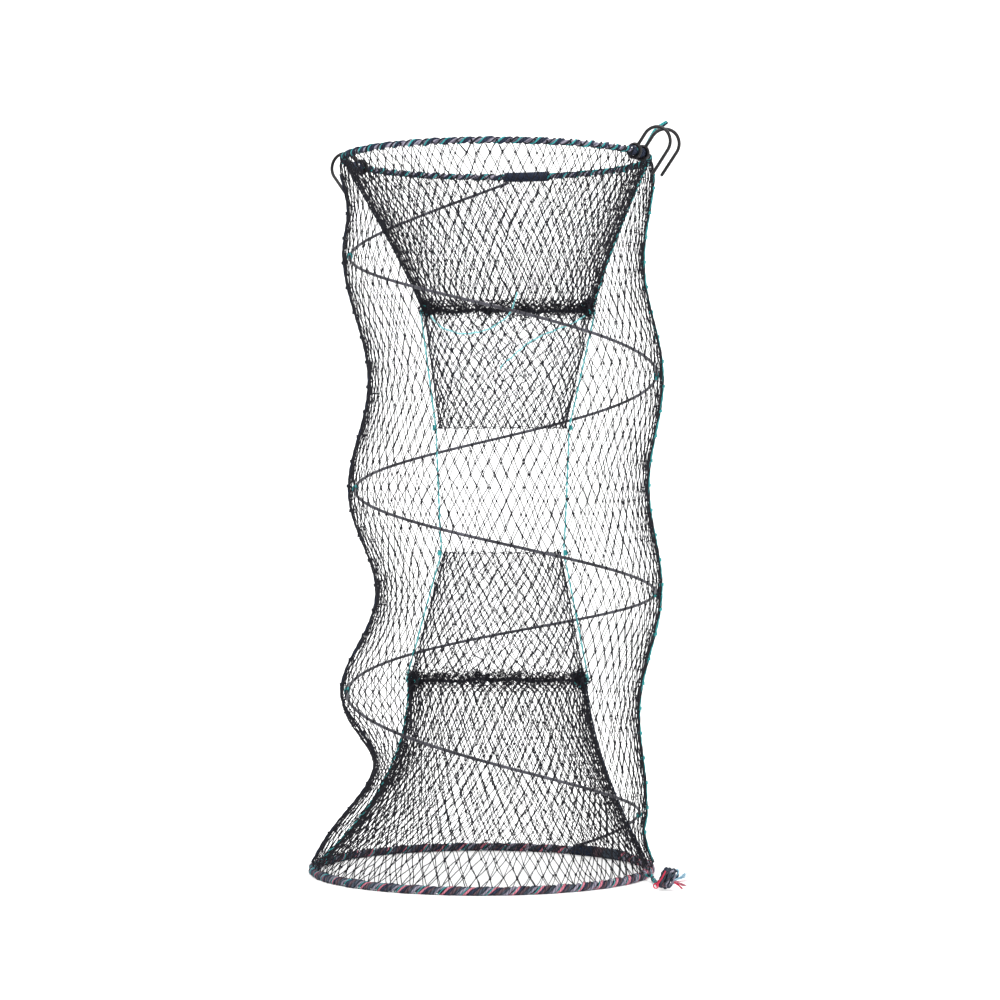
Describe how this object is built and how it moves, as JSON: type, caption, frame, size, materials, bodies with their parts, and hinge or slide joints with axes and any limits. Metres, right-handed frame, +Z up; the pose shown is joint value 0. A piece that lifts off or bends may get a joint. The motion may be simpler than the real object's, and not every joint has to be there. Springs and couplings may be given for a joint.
{
  "type": "folding crab trap",
  "caption": "Folding crab trap: a coiled wire between two corded rings holds a knotted net tube open; a net funnel leads in from each end to a flat throat, and wire hooks latch it folded.",
  "frame": {"origin": "on the floor, under the middle of the standing trap", "axes": "+Z up along the trap, from the bottom ring to the top ring; +X to the right, towards the pair of hooks; front is -Y"},
  "size_m": [0.2818, 0.2648, 0.5712],
  "materials": {
    "wire": "dull drawn spring wire",
    "hook": "dark lacquered wire",
    "dark_twine": "knotted black twine",
    "teal_twine": "laid teal twine",
    "navy_rope": "navy and teal strands wound round a ring",
    "mixed_rope": "grey, pink and teal strands wound round a ring"
  },
  "bodies": {
    "base": {"bottom_ring_wire": "wire", "bottom_rim_wrap": "mixed_rope", "bottom_ring_lashing": "navy_rope", "coil_spring_wire": "wire", "outer_net_front": "dark_twine", "outer_net_back": "dark_twine", "top_funnel_net": "dark_twine", "top_sleeve_net": "dark_twine", "bottom_funnel_net": "dark_twine", "bottom_sleeve_net": "dark_twine", "side_lacing_left": "navy_rope", "side_lacing_right": "teal_twine", "coil_ties": "teal_twine", "top_funnel_edge_left": "dark_twine", "top_funnel_edge_right": "teal_twine", "bottom_funnel_edge_left": "teal_twine", "bottom_funnel_edge_right": "dark_twine", "tension_cord_left": "teal_twine", "tension_cord_right": "teal_twine", "bottom_tail_cord": "mixed_rope", "bottom_tail_knot": "mixed_rope", "bottom_tail_tie": "mixed_rope"},
    "top_end": {"top_ring_wire": "wire", "top_rim_wrap": "navy_rope", "top_ring_lashing": "navy_rope", "hook_lashings": "navy_rope", "top_tail_cord": "navy_rope"},
    "hook_left": {"hook_left": "hook"},
    "hook_right": {"hook_right": "hook"},
    "hook_front_right": {"hook_front_right": "hook"},
    "top_throat": {"top_throat_gather": "dark_twine", "top_throat_knots": "teal_twine", "throat_tail_left": "teal_twine", "throat_tail_right": "teal_twine"},
    "top_mouth": {"top_mouth_line": "dark_twine", "top_mouth_knots": "teal_twine"},
    "bottom_mouth": {"bottom_mouth_line": "dark_twine", "bottom_mouth_knots": "teal_twine"},
    "bottom_throat": {"bottom_throat_gather": "dark_twine", "bottom_throat_knots": "teal_twine"}
  },
  "joints": [
    {"name": "fold", "type": "slide", "parent": "base", "child": "top_end", "axis": [0, 0, 1], "range_m": [-0.517, 0], "stiffness_N_per_m": 40, "springref_m": 0.05, "deforming": ["coil_spring_wire", "outer_net_front", "outer_net_back", "top_funnel_net", "top_sleeve_net", "bottom_funnel_net", "bottom_sleeve_net", "side_lacing_left", "side_lacing_right", "coil_ties", "top_funnel_edge_left", "top_funnel_edge_right", "bottom_funnel_edge_left", "bottom_funnel_edge_right", "tension_cord_left", "tension_cord_right"]},
    {"name": "top_throat_follow", "type": "slide", "parent": "base", "child": "top_throat", "axis": [0, 0, 1], "range_m": [-0.4091, 0.001]},
    {"name": "top_mouth_follow", "type": "slide", "parent": "base", "child": "top_mouth", "axis": [0, 0, 1], "range_m": [-0.3239, 0.001]},
    {"name": "bottom_mouth_follow", "type": "slide", "parent": "base", "child": "bottom_mouth", "axis": [0, 0, 1], "range_m": [-0.234, 0.001]},
    {"name": "bottom_throat_follow", "type": "slide", "parent": "base", "child": "bottom_throat", "axis": [0, 0, 1], "range_m": [-0.1412, 0.001]},
    {"name": "hook_left_swing", "type": "hinge", "parent": "top_end", "child": "hook_left", "pos_m": [-0.10604, 0.04945, 0.546], "axis": [-0.4226, -0.9063, 0], "range_deg": [-40, 20]},
    {"name": "hook_right_swing", "type": "hinge", "parent": "top_end", "child": "hook_right", "pos_m": [0.10959, -0.04097, 0.546], "axis": [0.3502, 0.9367, 0], "range_deg": [-15, 25]},
    {"name": "hook_front_right_swing", "type": "hinge", "parent": "top_end", "child": "hook_front_right", "pos_m": [0.1033, -0.05493, 0.546], "axis": [0.4695, 0.8829, 0], "range_deg": [-15, 25]}
  ],
  "couplings": [
    {"joint": "top_throat_follow", "follows": "fold", "ratio": 0.7875},
    {"joint": "top_mouth_follow", "follows": "fold", "ratio": 0.6227},
    {"joint": "bottom_mouth_follow", "follows": "fold", "ratio": 0.4487},
    {"joint": "bottom_throat_follow", "follows": "fold", "ratio": 0.2692}
  ]
}
